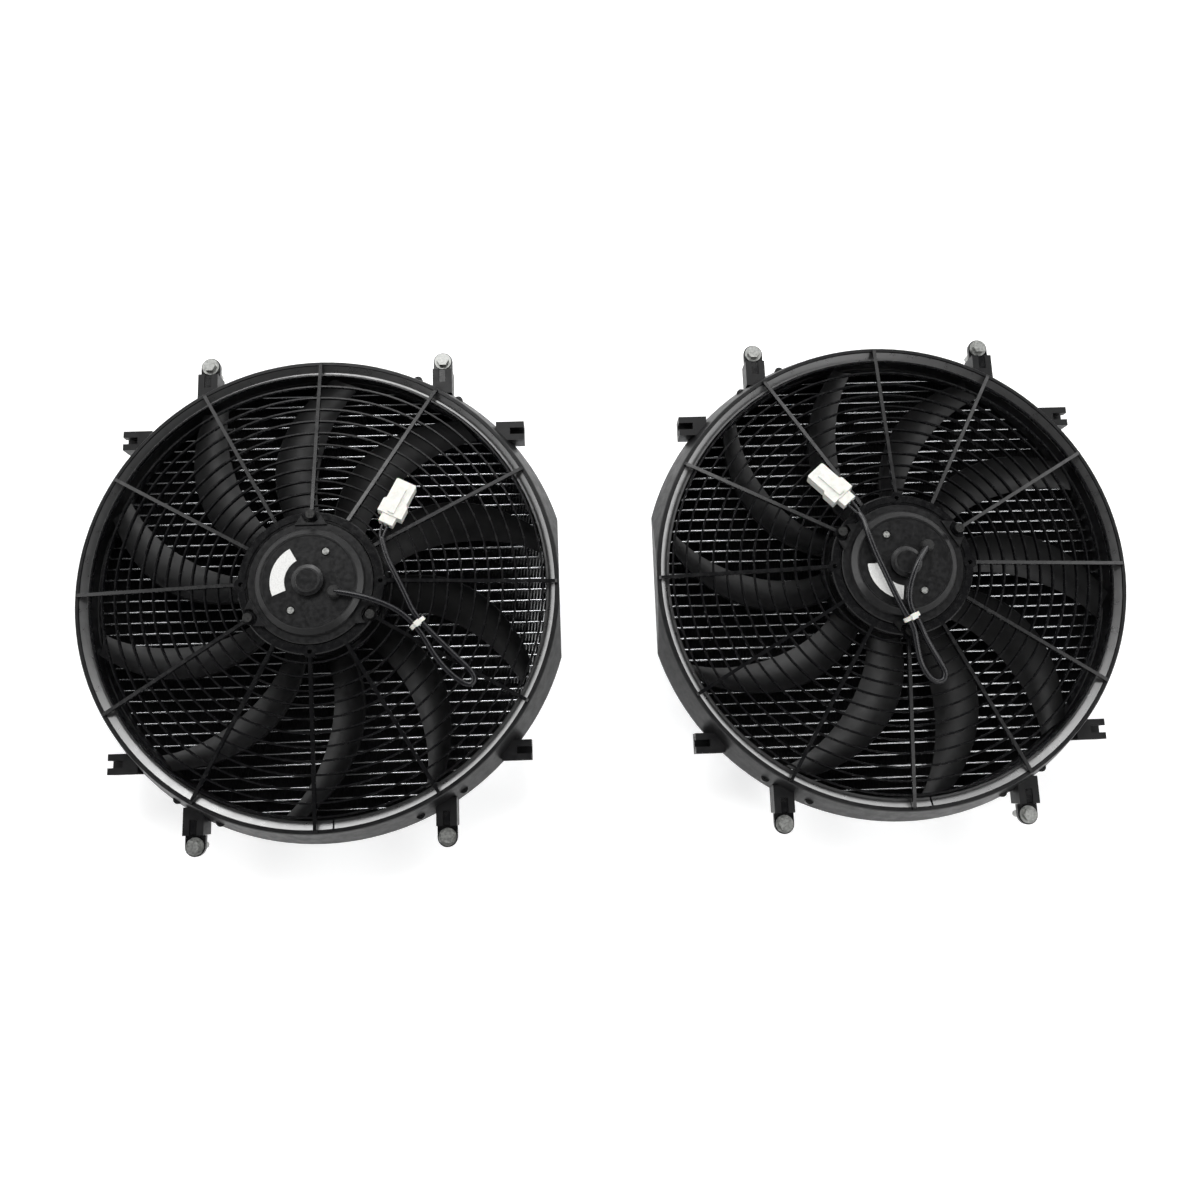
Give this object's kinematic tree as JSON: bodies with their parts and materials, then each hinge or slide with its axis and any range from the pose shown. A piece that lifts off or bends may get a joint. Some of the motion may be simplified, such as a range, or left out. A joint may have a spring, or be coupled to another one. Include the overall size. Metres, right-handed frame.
{
  "type": "engine radiator fan pair",
  "caption": "Pair of electric car radiator fans with domed ring guards, S-curved blades, pancake motors and plug leads, each over a round piece of tube-and-fin radiator core",
  "frame": {"origin": "bottom centre of the bounding box: back face of the cores, midway between the two fan axes", "axes": "+X from the left fan to the right fan, +Y up the picture along the flat sides, +Z out of the core along the fan axes"},
  "size_m": [0.9378, 0.4568, 0.121],
  "materials": {
    "black_plastic": "satin moulding",
    "black_paint": "satin paint",
    "black_rubber": "matt",
    "black_wire": "smooth insulation",
    "white_nylon": "natural nylon",
    "white_label": "bare label",
    "aluminium": "bright, as drawn",
    "dark_fin": "dull",
    "zinc_steel": "zinc plated",
    "dark_steel": "blackened",
    "bright_steel": "ground",
    "laminated_steel": "dull",
    "ferrite": "matt",
    "copper_winding": "enamelled copper",
    "copper": "turned copper",
    "brass": "tin-bright brass",
    "carbon": "matt graphite",
    "board": "phenolic board"
  },
  "bodies": {
    "fan_units": {"left_brush_card": "board", "left_cable_tie": "white_nylon", "left_carbon_brushes": "carbon", "left_card_screws": "zinc_steel", "left_core_band": "aluminium", "left_core_fins": "dark_fin", "left_core_tubes": "aluminium", "left_field_magnets": "ferrite", "left_foot_bolts": "zinc_steel", "left_foot_nuts": "zinc_steel", "left_foot_washers": "zinc_steel", "left_front_bearing": "bright_steel", "left_guard": "black_plastic", "left_lead_grommet": "black_rubber", "left_motor_can": "black_paint", "left_motor_end_cap": "black_paint", "left_motor_label": "white_label", "left_motor_lead": "black_wire", "left_motor_screws": "dark_steel", "left_mounting_feet": "black_plastic", "left_plug_housing": "white_nylon", "left_plug_terminals": "brass", "left_rear_bearing": "bright_steel", "left_shroud": "black_plastic", "right_brush_card": "board", "right_cable_tie": "white_nylon", "right_carbon_brushes": "carbon", "right_card_screws": "zinc_steel", "right_core_band": "aluminium", "right_core_fins": "dark_fin", "right_core_tubes": "aluminium", "right_field_magnets": "ferrite", "right_foot_bolts": "zinc_steel", "right_foot_nuts": "zinc_steel", "right_foot_washers": "zinc_steel", "right_front_bearing": "bright_steel", "right_guard": "black_plastic", "right_lead_grommet": "black_rubber", "right_motor_can": "black_paint", "right_motor_end_cap": "black_paint", "right_motor_label": "white_label", "right_motor_lead": "black_wire", "right_motor_screws": "dark_steel", "right_mounting_feet": "black_plastic", "right_plug_housing": "white_nylon", "right_plug_terminals": "brass", "right_rear_bearing": "bright_steel", "right_shroud": "black_plastic"},
    "left_rotor": {"left_armature_core": "laminated_steel", "left_armature_windings": "copper_winding", "left_commutator": "copper", "left_fan_rotor": "black_plastic", "left_motor_shaft": "bright_steel", "left_rotor_nut": "zinc_steel"},
    "right_rotor": {"right_armature_core": "laminated_steel", "right_armature_windings": "copper_winding", "right_commutator": "copper", "right_fan_rotor": "black_plastic", "right_motor_shaft": "bright_steel", "right_rotor_nut": "zinc_steel"}
  },
  "joints": [
    {"name": "left_fan_spin", "type": "hinge", "parent": "fan_units", "child": "left_rotor", "pos_m": [-0.2564, 0, 0.06], "axis": [0, 0, 1], "continuous": true},
    {"name": "right_fan_spin", "type": "hinge", "parent": "fan_units", "child": "right_rotor", "pos_m": [0.2564, 0, 0.06], "axis": [0, 0, 1], "continuous": true}
  ]
}
